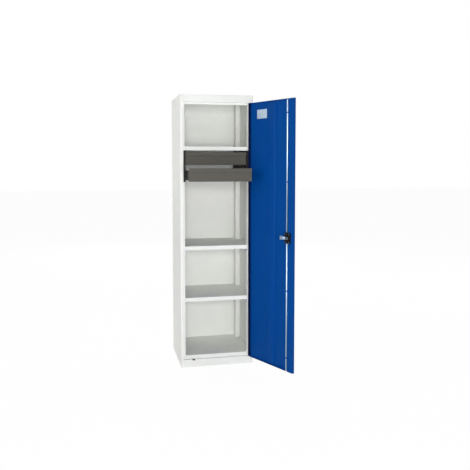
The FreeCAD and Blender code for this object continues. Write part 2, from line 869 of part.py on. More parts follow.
def handle_lever():
    """Hub and lever on the outside, bored for the key plug and the spindle."""
    y1 = front - handle_base_depth - handle_gap
    y0 = y1 - handle_hub_depth
    hub = through_round(handle_hub_radius, lock_x, lock_level, y0, y1)
    half = lever_width / 2
    tip = lever_tip_width / 2
    end = lock_level + lever_length
    outline = [vec(lock_x - half, y0, lock_level), vec(lock_x + half, y0, lock_level), vec(lock_x + tip, y0, end),
               vec(lock_x - tip, y0, end)]
    bar = Part.Face(Part.makePolygon(outline + outline[:1])).extrude(vec(0, lever_thickness, 0))
    bar = bar.makeFillet(lever_fillet, [edge for edge in bar.Edges if edge.CenterOfMass.z > lock_level + seam])
    lever = joined([hub, bar])
    lever = lever.cut(through_round(plug_radius + plug_play, lock_x, lock_level, y0 - overrun, y0 + plug_depth))
    return lever.cut(through_round(spindle_radius, lock_x, lock_level, y0 + plug_depth - overrun, y1 + overrun))


def handle_spindle():
    """Shaft from the handle's hub, through the door and the lock case, to the latch blade."""
    start = front - handle_base_depth - handle_gap - handle_hub_depth + plug_depth + plug_play
    return through_round(spindle_radius, lock_x, lock_level, start, blade_y + blade_thickness)


def key_plug():
    """Lock cylinder in the hub, with its keyway."""
    y0 = front - handle_base_depth - handle_gap - handle_hub_depth
    plug = through_round(plug_radius, lock_x, lock_level, y0 - plug_proud, y0 + plug_depth - plug_play)
    keyway = block(lock_x - keyway_width / 2, lock_x + keyway_width / 2, y0 - plug_proud - overrun,
                   y0 - plug_proud + keyway_depth, lock_level - keyway_height / 2, lock_level + keyway_height / 2)
    return plug.cut(keyway)


def build_carcass():
    """Everything that stands still."""
    panel = side_panel()
    upright = rear_upright()
    carrier = drawer_carrier()
    spacers, screws = carrier_fixings()
    save("right_side_panel", [panel])
    save("left_side_panel", [mirrored(panel)])
    save("rear_panel", [rear_panel()])
    save("top_panel", [top_panel()])
    save("top_rail", [top_rail()])
    save("right_front_post", [front_post()])
    save("left_front_post", [left_front_post()])
    save("right_rear_upright", [upright])
    save("left_rear_upright", [mirrored(upright)])
    save("plinth_front", [plinth_front()])
    save("floor_panel", [floor_panel()])
    save("base_frame", [base_frame()])
    save("foot_brackets", foot_brackets())
    save("levelling_feet", levelling_feet())
    save("upper_shelf", [shelf(upper_shelf_top)])
    save("middle_shelf", [shelf(middle_shelf_top)])
    save("lower_shelf", [shelf(lower_shelf_top)])
    save("shelf_clips", shelf_clips())
    save("right_drawer_carrier", [carrier])
    save("left_drawer_carrier", [mirrored(carrier)])
    save("carrier_spacers", spacers)
    save("carrier_screws", screws)
    save("upper_outer_rails", outer_rails(upper_drawer_level))
    save("lower_outer_rails", outer_rails(lower_drawer_level))
    save("rod_keepers", rod_keepers())
    save("frame_hinge_leaves", [hinge_leaf(level, True) for level in hinge_levels()])
    save("hinge_pins", [hinge_pin(level) for level in hinge_levels()])


def build_drawer(name, level, out, runner_out):
    """One drawer with its moving rails, pulled out as far as it rests."""
    save(name + "_drawer_front", [pulled(drawer_front(level), out)])
    save(name + "_drawer_tray", [pulled(drawer_tray(level), out)])
    save(name + "_inner_rails", [pulled(rail, out) for rail in inner_rails(level)])
    save(name + "_middle_rails", [pulled(rail, runner_out) for rail in middle_rails(level)])


def build_door():
    """The door and everything that it carries, swung open."""
    plate, rivets = door_plate()
    case_end = case_height / 2
    pieces = {
        "door_panel": [door_panel()],
        "door_top_flange": [door_end_flange(door_top - door_sheet)],
        "door_bottom_flange": [door_end_flange(door_bottom)],
        "door_hinge_flange": [door_hinge_flange()],
        "door_seal": [door_seal()],
        "door_lock_stile": [door_lock_stile()],
        "door_stiffener": [door_stiffener()],
        "door_plate": [plate],
        "plate_rivets": rivets,
        "door_buffers": door_buffers(),
        "door_hinge_leaves": [hinge_leaf(level, False) for level in hinge_levels()],
        "lock_case": [lock_case()],
        "lock_case_screws": case_screws(),
        "rod_guides": rod_guides(),
        "handle_base": [handle_base()],
        "handle_lever": [handle_lever()],
        "handle_spindle": [handle_spindle()],
        "latch_blade": [latch_blade()],
        "blade_screw": [through_round(blade_screw_radius, lock_x, lock_level, blade_y + blade_thickness,
                                      blade_y + blade_thickness + blade_screw_height)],
        "key_plug": [key_plug()],
        "upper_lock_rod": [lock_rod(door_top - rod_end_gap, lock_level + case_end - rod_in_case)],
        "lower_lock_rod": [lock_rod(door_bottom + rod_end_gap, lock_level - case_end + rod_in_case)],
    }
    for name, shapes in pieces.items():
        save(name, [swung(shape) for shape in shapes])


os.makedirs("parts", exist_ok=True)
build_carcass()
build_drawer("upper", upper_drawer_level, upper_drawer_out, upper_drawer_out * upper_runner_share)
build_drawer("lower", lower_drawer_level, lower_drawer_out, lower_drawer_out)
build_door()
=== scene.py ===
"""Looks of a tall steel tool cabinet.

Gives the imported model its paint, plate, plastic and rubber, and makes the pieces that a press brake or a
mould shapes. Metres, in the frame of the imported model: +X to the right as one faces the door, +Y to the back
and +Z up.
"""
import json
import math

import bmesh
import bpy
from bpy.props import FloatProperty, FloatVectorProperty, PointerProperty
from mathutils import Matrix, Vector

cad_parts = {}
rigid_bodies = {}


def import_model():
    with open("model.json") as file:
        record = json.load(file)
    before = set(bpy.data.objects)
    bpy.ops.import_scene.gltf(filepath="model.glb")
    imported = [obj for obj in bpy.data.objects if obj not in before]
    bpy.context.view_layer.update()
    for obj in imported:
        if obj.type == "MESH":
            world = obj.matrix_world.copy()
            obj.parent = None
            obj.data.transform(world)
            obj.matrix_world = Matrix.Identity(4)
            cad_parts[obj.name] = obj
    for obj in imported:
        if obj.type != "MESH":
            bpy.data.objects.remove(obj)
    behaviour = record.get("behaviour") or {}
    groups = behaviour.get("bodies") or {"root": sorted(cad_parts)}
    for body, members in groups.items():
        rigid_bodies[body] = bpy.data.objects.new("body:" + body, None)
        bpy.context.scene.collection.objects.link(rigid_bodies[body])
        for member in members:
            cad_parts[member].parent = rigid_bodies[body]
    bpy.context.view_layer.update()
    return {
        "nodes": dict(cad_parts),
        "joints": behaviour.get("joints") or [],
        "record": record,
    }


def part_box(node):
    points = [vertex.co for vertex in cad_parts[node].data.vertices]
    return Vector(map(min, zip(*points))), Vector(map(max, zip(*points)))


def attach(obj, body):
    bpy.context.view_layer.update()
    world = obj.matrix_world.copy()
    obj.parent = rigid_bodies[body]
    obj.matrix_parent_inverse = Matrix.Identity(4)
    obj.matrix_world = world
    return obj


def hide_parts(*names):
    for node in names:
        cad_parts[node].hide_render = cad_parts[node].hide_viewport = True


bl_info = {
    "name": "Tool cabinet",
    "version": (1, 0, 0),
    "blender": (4, 5, 0),
    "location": "3D View > Sidebar > Cabinet",
    "description": "Dresses the packed tool cabinet: sheet metal, lock, handle, drawers, paint and stage",
    "category": "Object",
}

# None of the startup file's objects stay
for leftover in list(bpy.data.objects):
    bpy.data.objects.remove(leftover)
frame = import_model()

# The door's pieces are modelled as they lie when the door is shut, and then swung to where the door rests.
hinge = next(joint for joint in frame["joints"] if joint["name"] == "door_hinge")
pin = Vector(hinge["pos_m"])
open_angle = math.radians(-hinge["range_deg"][0])
SWING = Matrix.Translation(pin) @ Matrix.Rotation(open_angle, 4, "Z") @ Matrix.Translation(-pin)

MM = 0.001
OUT = Vector((0, -1, 0))  # out of the cabinet, through its shut door
UP = Vector((0, 0, 1))

# Limits that the helpers for modelling work with
SAME = 0.01 * MM  # two places along an axis that are closer than this are the same
WELD = 0.001 * MM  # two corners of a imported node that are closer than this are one
OVERRUN = 1.0 * MM  # how far a cutting tool reaches past what it cuts
LEVEL = math.radians(0.2)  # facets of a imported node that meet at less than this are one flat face
FOLD = math.radians(20)  # faces of a bent sheet that meet at more than this have a fold between them
CURVE = math.radians(35)  # faces that meet at less than this are shaded as one curve
NODE_CORNER = math.radians(40)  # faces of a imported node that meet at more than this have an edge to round
CORNER = math.radians(50)  # faces of a modelled piece that meet at more than this have an edge to round
FACING_SHARE = 0.9  # of a normal, along the axis that its face looks along

# The finish of each material slot of the record
FINISHES = {
    "carcass_paint": "light_grey_powder_coat",
    "door_paint": "blue_powder_coat",
    "drawer_paint": "warm_grey_powder_coat",
    "black_paint": "runner_coat_and_painted_shade",
    "zinc_plate": "bright_zinc_plate",
    "lock_metal": "nickel_plate",
    "black_plastic": "black_polyamide",
    "buffer_rubber": "blue_rubber",
    "seal_rubber": "hinge_seal_and_painted_shade",
}


def linear(code):
    """An sRGB hex colour as the three linear values that the shaders use."""
    channels = [int(code[i:i + 2], 16) / 255 for i in (1, 3, 5)]
    return tuple(c / 12.92 if c <= 0.04045 else ((c + 0.055) / 1.055) ** 2.4 for c in channels)


def colour(label, words, code):
    """A colour that the user can change."""
    return FloatVectorProperty(name=label, description=words, subtype="COLOR", size=3, min=0, max=1,
                               default=linear(code))


def length(label, words, value):
    """A size that the user can change, in metres."""
    return FloatProperty(name=label, description=words, unit="LENGTH", subtype="DISTANCE", min=0,
                         default=value)


class CabinetPaints(bpy.types.PropertyGroup):
    """Colours of the cabinet's finishes."""

    carcass: colour("Carcass", "Powder coat of the walls, frame and shelves", "#F1F2EE")
    door: colour("Door", "Powder coat of the door", "#00438D")
    drawer: colour("Drawers", "Powder coat of the drawers", "#5A5851")
    # Near-black: the runners' coat, kept this dark also as painted shade of the shadowed gaps beside the
    # drawers
    runner: colour("Runners", "Powder coat of the carriers and rails", "#2A2A28")
    zinc: colour("Zinc", "Bright zinc plate of rods, blade and small parts", "#9CB2C6")
    plate: colour("Plate", "Anodised aluminium of the small plate", "#B9CBDA")
    nickel: colour("Nickel", "Nickel plate of the lock cylinder", "#C8C3B8")
    plastic: colour("Plastic", "Moulded plastic of the handle and the lock case", "#0B0C10")
    buffer: colour("Buffers", "Rubber of the door buffers", "#0B4079")
    # Dark navy: the seal's rubber, darkened to stand as painted shade of the shadowed gap along the door's
    # hinge edge
    seal: colour("Seal", "Rubber of the seal along the hinges", "#08123A")
    floor: colour("Floor", "Floor that the cabinet stands on", "#FAFAFA")


class CabinetSizes(bpy.types.PropertyGroup):
    """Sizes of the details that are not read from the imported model."""

    edge: length("Edge", "Rounding of a cut sheet edge", 0.25 * MM)
    door_sheet: length("Door sheet", "Thickness of the door's sheet", 1.0 * MM)
    door_fold: length("Door fold", "Outside radius of the door's folds", 2.5 * MM)
    front_sheet: length("Front sheet", "Thickness of a drawer front's sheet", 1.2 * MM)
    front_fold: length("Front fold", "Outside radius of a drawer front's folds", 2.0 * MM)
    grip_band: length("Grip band", "Height of the band along a drawer front's top", 26 * MM)
    grip_slope: length("Grip slope", "Height of the slope under the band", 4 * MM)
    grip_proud: length("Grip proud", "How far the band stands in front of the drawer front", 5 * MM)
    grip_return: length("Grip return", "Depth of the band's top", 9 * MM)
    end_return: length("End return", "Depth of the folds at a drawer front's ends", 11 * MM)
    play: length("Play", "Room round a rod or a shaft", 0.4 * MM)
    field_inset: length("Field inset", "Rim round the sunk field of the handle's base", 5 * MM)
    field_slope: length("Field slope", "Width of the slope into the sunk field", 0.8 * MM)
    field_depth: length("Field depth", "Depth of the sunk field", 1.2 * MM)
    base_round: length("Base rounding", "Rounding of the handle base's edges", 1.2 * MM)
    lever_bow: length("Lever bow", "How far the lever bows away from the door", 3 * MM)
    lever_round: length("Lever rounding", "Rounding of the lever's edges", 3 * MM)
    moulding: length("Moulding", "Voxel size of the moulded lever", 1.0 * MM)
    recess: length("Recess", "Width of a screw's cross recess", 1.1 * MM)
    bolt_round: length("Bolt rounding", "Rounding of the bolt's and washer's edges", 0.4 * MM)


# Helpers for modelling


def only(piece):
    """Select one object and make it active."""
    bpy.ops.object.select_all(action="DESELECT")
    piece.select_set(True)
    bpy.context.view_layer.objects.active = piece


def settle(piece):
    """Put a piece's place into its mesh, so that its object sits at the origin."""
    only(piece)
    bpy.ops.object.transform_apply(location=True, rotation=True, scale=True)
    return piece


def add_block(name, low, high):
    """A box between two corners."""
    bpy.ops.mesh.primitive_cube_add(size=1, location=(low + high) / 2)
    block = bpy.context.object
    block.name = name
    block.scale = high - low
    return settle(block)


def add_round(name, radius, start, end, sides=48):
    """A cylinder between two points."""
    turn = (end - start).to_track_quat("Z", "Y").to_euler()
    bpy.ops.mesh.primitive_cylinder_add(vertices=sides, radius=radius, depth=(end - start).length,
                                        location=(start + end) / 2, rotation=turn)
    bar = bpy.context.object
    bar.name = name
    return settle(bar)


def middle(item):
    """Middle of a face's or an edge's corners."""
    return sum((corner.co for corner in item.verts), Vector()) / len(item.verts)


def near(value, target):
    """Whether two places along an axis are the same."""
    return abs(value - target) < SAME


def pick(kind, test):
    """In edit mode, select the faces or edges that pass a test."""
    bpy.ops.mesh.select_mode(type=kind)
    bpy.ops.mesh.select_all(action="DESELECT")
    mesh = bmesh.from_edit_mesh(bpy.context.edit_object.data)
    for item in mesh.faces if kind == "FACE" else mesh.edges:
        if test(item):
            item.select_set(True)
    mesh.select_flush_mode()
    bmesh.update_edit_mesh(bpy.context.edit_object.data)


def edit(piece):
    """Start shaping a piece."""
    only(piece)
    bpy.ops.object.mode_set(mode="EDIT")


def done():
    """Stop shaping a piece."""
    bpy.ops.object.mode_set(mode="OBJECT")


def modify(piece, kind, **settings):
    """Add a modifier to a piece and apply it."""
    only(piece)
    modifier = piece.modifiers.new(kind.title(), kind)
    for name, value in settings.items():
        setattr(modifier, name, value)
    bpy.ops.object.modifier_apply(modifier=modifier.name)


def round_edges(piece, width, segments=3):
    """Round the edges of a piece where its faces meet at a sharp angle."""
    modify(piece, "BEVEL", width=width, segments=segments, limit_method="ANGLE", angle_limit=CORNER)


def cut(piece, tool):
    """Cut a tool out of a piece and remove the tool."""
    modify(piece, "BOOLEAN", operation="DIFFERENCE", solver="EXACT", object=tool)
    bpy.data.objects.remove(tool)


def smooth(piece, curve=CURVE):
    """Shade a piece smooth, with its edges kept sharp beyond an angle and its large faces kept flat."""
    only(piece)
    bpy.ops.object.shade_smooth_by_angle(angle=curve)
    modify(piece, "WEIGHTED_NORMAL", keep_sharp=True)


def join(name, pieces):
    """Join pieces into one object."""
    bpy.ops.object.select_all(action="DESELECT")
    for piece in pieces:
        piece.select_set(True)
    bpy.context.view_layer.objects.active = pieces[0]
    bpy.ops.object.join()
    pieces[0].name = name
    return pieces[0]


def copies(name, piece, places):
    """Copies of a piece modelled at the origin, each turned about Z and moved, joined into one object."""
    made = []
    for place, turn in places:
        only(piece)
        bpy.ops.object.duplicate(linked=False)
        copy = bpy.context.object
        copy.location = place
        copy.rotation_euler.z = turn
        made.append(settle(copy))
    bpy.data.objects.remove(piece)
    return join(name, made)


def dress(piece, body, slot, *nodes):
    """Give a finished piece its body, its finish and the nodes that it stands for."""
    piece.data.materials.clear()
    piece.data.materials.append(bpy.data.materials[FINISHES[slot]])
    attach(piece, body)
    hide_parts(*nodes)


def swing(piece):
    """Turn a piece of the shut door to where the open door rests."""
    piece.matrix_world = SWING @ piece.matrix_world
    return settle(piece)


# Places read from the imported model


def box_of(points):
    """Lowest and highest corner of some points."""
    low = Vector([min(point[i] for point in points) for i in range(3)])
    high = Vector([max(point[i] for point in points) for i in range(3)])
    return low, high


def shut_box(node):
    """Corners of a piece of the door as it lies when the door is shut."""
    back = SWING.inverted()
    return box_of([back @ vertex.co for vertex in frame["nodes"][node].data.vertices])


def solids(node, turn=Matrix()):
    """Corners of each separate solid in a node, after a turn.

    Vertices that agree to a micrometre are one, and faces that share one belong to the same solid.
    """
    mesh = frame["nodes"][node].data
    keys = [tuple(round(value, 6) for value in vertex.co) for vertex in mesh.vertices]
    parent = {key: key for key in keys}

    def root(key):
        """The vertex that stands for all of its solid."""
        while parent[key] != key:
            key = parent[key]
        return key

    for face in mesh.polygons:
        first = root(keys[face.vertices[0]])
        for index in face.vertices[1:]:
            parent[root(keys[index])] = first
    groups = {}
    for key in parent:
        groups.setdefault(root(key), []).append(turn @ Vector(key))
    return [box_of(group) for group in groups.values()]


def seats(boxes):
    """Where small pieces stand on the shut door's inside, with no turn: the foot of each of their boxes."""
    return [(Vector(((low.x + high.x) / 2, low.y, (low.z + high.z) / 2)), 0) for low, high in boxes]


def shaft_hole(name, node, sizes, start, end):
    """Cutting tool that gives a shaft of the shut door its room, between two depths."""
    low, high = shut_box(node)
    axis = (low + high) / 2
    return add_round(name, (high.x - low.x) / 2 + sizes.play, Vector((axis.x, start, axis.z)),
                     Vector((axis.x, end, axis.z)), sides=64)


# Finishes


def add(tree, kind, values=None, links=None, **settings):
    """Add a node with its settings, its inputs' values and the sockets linked to its inputs."""
    node = tree.nodes.new(kind)
    for name, value in settings.items():
        setattr(node, name, value)
    for name, value in (values or {}).items():
        node.inputs[name].default_value = value
    for name, socket in (links or {}).items():
        tree.links.new(socket, node.inputs[name])
    return node


def new_finish(name):
    """An empty material, and the Object coordinates that its patterns follow."""
    material = bpy.data.materials.new(name)
    material.use_nodes = True
    tree = material.node_tree
    tree.nodes.clear()
    return tree, add(tree, "ShaderNodeTexCoord").outputs["Object"]


def per_metre(millimetres):
    """Scale of a pattern whose features are this far apart."""
    return 1 / (millimetres * MM)


def shaded(base, factor):
    """A colour made darker or lighter, with its alpha."""
    return tuple(min(channel * factor, 1) for channel in base) + (1,)


# Sockets of a Mix node that mixes colours: its two inputs, and its output
MIX_A, MIX_B, MIX_RESULT = 6, 7, 2


def tinted(tree, base, dark_share, light_share, pattern):
    """A colour that a pattern makes a little darker and lighter."""
    return add(tree, "ShaderNodeMix", {MIX_A: shaded(base, dark_share), MIX_B: shaded(base, light_share)},
               {"Factor": pattern.outputs["Fac"]}, data_type="RGBA")


def finish_off(tree, values, tint, gloss, bumps):
    """Bring a finish's colour, roughness and bumps together in its shader."""
    shader = add(tree, "ShaderNodeBsdfPrincipled", values,
                 {"Base Color": tint.outputs[MIX_RESULT], "Roughness": gloss.outputs["Result"],
                  "Normal": bumps.outputs["Normal"]})
    add(tree, "ShaderNodeOutputMaterial", links={"Surface": shader.outputs["BSDF"]})


def powder_coat(name, base, roughness, shine, peel_mm):
    """Powder coat on steel sheet.

    It is sprayed dry and baked, so it has an even colour, the shallow dimples of orange peel and a satin
    gloss that handling dulls in patches. The sheet is never quite flat, which bends what it reflects. Real
    orange peel is about 1 mm from dimple to dimple, and is drawn a little coarser so that it shows.
    """
    patch_mm = 180  # from one handled patch to the next
    dark_share, light_share = 0.93, 1.05  # of the colour, in the darkest and the lightest patches
    dulling = 0.06  # how much rougher the dullest patches are, and how much smoother the brightest
    wave_mm = 320  # from one wave of the sheet to the next
    wave_depth = 1.5 * MM
    peel_depth = 0.05 * MM
    tree, place = new_finish(name)
    patches = add(tree, "ShaderNodeTexNoise", {"Scale": per_metre(patch_mm), "Detail": 4, "Roughness": 0.6},
                  {"Vector": place})
    peel = add(tree, "ShaderNodeTexNoise", {"Scale": per_metre(peel_mm), "Detail": 2}, {"Vector": place})
    waves = add(tree, "ShaderNodeTexNoise", {"Scale": per_metre(wave_mm), "Detail": 1}, {"Vector": place})
    tint = tinted(tree, base, dark_share, light_share, patches)
    gloss = add(tree, "ShaderNodeMapRange",
                {"From Min": 0.3, "From Max": 0.7,
                 "To Min": roughness - dulling, "To Max": roughness + dulling},
                {"Value": patches.outputs["Fac"]})
    sheet = add(tree, "ShaderNodeBump", {"Strength": 0.3, "Distance": wave_depth},
                {"Height": waves.outputs["Fac"]})
    bumps = add(tree, "ShaderNodeBump", {"Strength": 0.5, "Distance": peel_depth},
                {"Height": peel.outputs["Fac"], "Normal": sheet.outputs["Normal"]})
    finish_off(tree, {"IOR": 1.5, "Specular IOR Level": shine}, tint, gloss, bumps)


def plated_metal(name, base, roughness, stretch):
    """Plated or anodised metal.

    It is drawn or rolled before it gets its thin bright coat, so it keeps the fine lines of the drawing
    along its length, and clouds in the coat tint it a little. The lines are a tenth of a millimetre apart on
    the real metal, and are made coarser so that they show.
    """
    line_mm = 0.8  # from one drawn line to the next
    line_depth = 0.04 * MM
    smoother, rougher = 0.08, 0.1  # how far the lines change the roughness
    cloud_mm = 22  # from one cloud in the coat to the next
    dark_share, light_share = 0.84, 1.08  # of the colour, in the darkest and the lightest clouds
    tree, place = new_finish(name)
    along = add(tree, "ShaderNodeMapping", {"Scale": (1, 1, stretch)}, {"Vector": place})
    lines = add(tree, "ShaderNodeTexNoise", {"Scale": per_metre(line_mm), "Detail": 3},
                {"Vector": along.outputs["Vector"]})
    clouds = add(tree, "ShaderNodeTexNoise", {"Scale": per_metre(cloud_mm), "Detail": 3}, {"Vector": place})
    tint = tinted(tree, base, dark_share, light_share, clouds)
    gloss = add(tree, "ShaderNodeMapRange", {"To Min": roughness - smoother, "To Max": roughness + rougher},
                {"Value": lines.outputs["Fac"]})
    bumps = add(tree, "ShaderNodeBump", {"Strength": 0.25, "Distance": line_depth},
                {"Height": lines.outputs["Fac"]})
    finish_off(tree, {"Metallic": 1}, tint, gloss, bumps)


def moulded(name, base, roughness, grain_mm):
    """Moulded polyamide or rubber.

    It is dyed through, with the spark-eroded grain of its mould and a dull gloss that fingers polish in
    places.
    """
    grain_depth = 0.08 * MM
    rub_mm = 25  # from one polished place to the next
    dark_share, light_share = 0.8, 1.3  # of the colour, in the darkest and the lightest places
    polish, dulling = 0.12, 0.05  # how much smoother polished places are, and how much rougher the others
    tree, place = new_finish(name)
    grain = add(tree, "ShaderNodeTexVoronoi", {"Scale": per_metre(grain_mm)}, {"Vector": place})
    rubbed = add(tree, "ShaderNodeTexNoise", {"Scale": per_metre(rub_mm), "Detail": 2}, {"Vector": place})
    tint = tinted(tree, base, dark_share, light_share, rubbed)
    gloss = add(tree, "ShaderNodeMapRange",
                {"From Min": 0.35, "From Max": 0.65,
                 "To Min": roughness - polish, "To Max": roughness + dulling},
                {"Value": rubbed.outputs["Fac"]})
    bumps = add(tree, "ShaderNodeBump", {"Strength": 0.4, "Distance": grain_depth},
                {"Height": grain.outputs["Distance"]})
    finish_off(tree, {"IOR": 1.5, "Specular IOR Level": 0.1}, tint, gloss, bumps)


def soften(node, width):
    """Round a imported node's sharp edges a little, as deburring and paint do."""
    weld = node.modifiers.new("Weld", "WELD")
    weld.merge_threshold = WELD
    merge = node.modifiers.new("Flat faces", "DECIMATE")
    merge.decimate_type = "DISSOLVE"
    merge.angle_limit = LEVEL
    bevel = node.modifiers.new("Edges", "BEVEL")
    bevel.width = width
    bevel.segments = 2
    bevel.limit_method = "ANGLE"
    bevel.angle_limit = NODE_CORNER
    bevel.harden_normals = True


class CABINET_OT_finishes(bpy.types.Operator):
    """Make the finishes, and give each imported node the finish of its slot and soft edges"""

    bl_idname = "cabinet.finishes"
    bl_label = "Finishes"

    def execute(self, context):
        paints = context.scene.cabinet_paints
        powder_coat("light_grey_powder_coat", paints.carcass, roughness=0.5, shine=0.12, peel_mm=2.0)
        powder_coat("blue_powder_coat", paints.door, roughness=0.42, shine=0.04, peel_mm=2.0)
        powder_coat("warm_grey_powder_coat", paints.drawer, roughness=0.55, shine=0.1, peel_mm=1.2)
        # The runners' near-black is partly painted shade of the shadowed gaps beside the drawers
        powder_coat("runner_coat_and_painted_shade", paints.runner, roughness=0.5, shine=0.1, peel_mm=2.0)
        plated_metal("bright_zinc_plate", paints.zinc, roughness=0.3, stretch=0.02)
        plated_metal("anodised_aluminium", paints.plate, roughness=0.45, stretch=0.02)
        plated_metal("nickel_plate", paints.nickel, roughness=0.2, stretch=1)
        moulded("black_polyamide", paints.plastic, roughness=0.5, grain_mm=0.7)
        moulded("blue_rubber", paints.buffer, roughness=0.75, grain_mm=0.5)
        # The seal's dark navy is partly painted shade: it stands for the shadowed gap along the hinge edge
        moulded("hinge_seal_and_painted_shade", paints.seal, roughness=0.8, grain_mm=0.5)
        finishes = {row["node"]: FINISHES[row["material_slot"]] for row in frame["record"]["subparts"]}
        finishes["door_plate"] = "anodised_aluminium"  # the one piece of the zinc slot that isn't zinc
        for name, node in frame["nodes"].items():
            node.data.materials.clear()
            node.data.materials.append(bpy.data.materials[finishes[name]])
            soften(node, context.scene.cabinet_sizes.edge)
        return {"FINISHED"}


# Pieces


class CABINET_OT_door_pan(bpy.types.Operator):
    """Door pan: one sheet folded round three sides, with holes for the lock's rods and spindle"""

    bl_idname = "cabinet.door_pan"
    bl_label = "Door pan"

    def execute(self, context):
        sizes = context.scene.cabinet_sizes
        low, high = shut_box("door_panel")
        lip = shut_box("door_top_flange")[1].y
        pan = add_block("door_pan", low, Vector((high.x, lip, high.z)))
        edit(pan)
        pick("FACE", lambda face: near(middle(face).y, lip) or near(middle(face).x, low.x))
        bpy.ops.mesh.delete(type="FACE")
        pick("EDGE", lambda edge: near(middle(edge).y, low.y) and not near(middle(edge).x, low.x))
        bpy.ops.mesh.bevel(offset=sizes.door_fold, segments=4, affect="EDGES")
        done()
        modify(pan, "SOLIDIFY", thickness=sizes.door_sheet, offset=-1, use_even_offset=True)
        reach = 2 * sizes.door_fold
        for rod, end in (("upper_lock_rod", high.z), ("lower_lock_rod", low.z)):
            rod_low, rod_high = shut_box(rod)
            axis = (rod_low + rod_high) / 2
            axis.z = end
            radius = (rod_high.x - rod_low.x) / 2 + sizes.play
            cut(pan, add_round("rod_hole", radius, axis - UP * reach, axis + UP * reach))
        cut(pan, shaft_hole("spindle_hole", "handle_spindle", sizes, low.y - reach, low.y + reach))
        round_edges(pan, sizes.edge, segments=2)
        smooth(pan)
        dress(swing(pan), "door", "door_paint", "door_panel", "door_top_flange", "door_bottom_flange",
              "door_hinge_flange")
        return {"FINISHED"}


class CABINET_OT_drawer_fronts(bpy.types.Operator):
    """Drawer fronts: folded sheet with a grip band, and returns at the top, the bottom and the ends"""

    bl_idname = "cabinet.drawer_fronts"
    bl_label = "Drawer fronts"

    def execute(self, context):
        front = self.fold_front(context.scene.cabinet_sizes)
        upper_low, lower_low = (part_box(name + "_drawer_front")[0] for name in ("upper", "lower"))
        only(front)
        bpy.ops.object.duplicate(linked=False)
        twin = bpy.context.object
        twin.name = "lower_grip_front"
        twin.location = lower_low - upper_low
        dress(front, "upper_drawer", "drawer_paint", "upper_drawer_front")
        dress(settle(twin), "lower_drawer", "drawer_paint", "lower_drawer_front")
        return {"FINISHED"}

    def fold_front(self, sizes):
        """The upper drawer's front, folded up from a flat strip."""
        low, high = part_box("upper_drawer_front")
        face_y = low.y + sizes.grip_proud
        step_z = high.z - sizes.grip_band - sizes.grip_slope
        bpy.ops.mesh.primitive_plane_add(size=1, location=(0, face_y, (low.z + step_z) / 2),
                                         rotation=(math.radians(90), 0, 0))
        front = bpy.context.object
        front.name = "upper_grip_front"
        front.scale = (high.x - low.x, step_z - low.z, 1)
        edit(settle(front))
        slope = (0, -sizes.grip_proud, sizes.grip_slope)
        band = (0, 0, sizes.grip_band)
        top = (0, sizes.grip_return, 0)
        edge_z = step_z
        for move in (slope, band, top):
            pick("EDGE", lambda edge: near(middle(edge).z, edge_z) and near(middle(edge).x, 0))
            bpy.ops.mesh.extrude_edges_move(TRANSFORM_OT_translate={"value": move})
            edge_z += move[2]
        pick("EDGE", lambda edge: near(middle(edge).z, low.z))
        bpy.ops.mesh.extrude_edges_move(TRANSFORM_OT_translate={"value": (0, high.y - face_y, 0)})
        pick("EDGE", lambda edge: near(abs(middle(edge).x), high.x) and not near(middle(edge).z, low.z)
             and not near(middle(edge).z, high.z))
        bpy.ops.mesh.extrude_edges_move(TRANSFORM_OT_translate={"value": (0, sizes.end_return, 0)})
        pick("EDGE", lambda edge: len(edge.link_faces) == 2 and edge.calc_face_angle() > FOLD)
        bpy.ops.mesh.bevel(offset=sizes.front_fold, segments=3, affect="EDGES", clamp_overlap=True)
        bpy.ops.mesh.select_all(action="SELECT")
        bpy.ops.mesh.remove_doubles(threshold=SAME)
        bpy.ops.mesh.normals_make_consistent(inside=False)
        done()
        self.face_out(front)
        modify(front, "SOLIDIFY", thickness=sizes.front_sheet, offset=-1, use_even_offset=True)
        smooth(front)
        return front

    def face_out(self, front):
        """Turn the sheet's faces over if its largest face looks into the cabinet."""
        largest = max(front.data.polygons, key=lambda face: face.area)
        if largest.normal.dot(OUT) < 0:
            edit(front)
            bpy.ops.mesh.select_all(action="SELECT")
            bpy.ops.mesh.flip_normals()
            done()


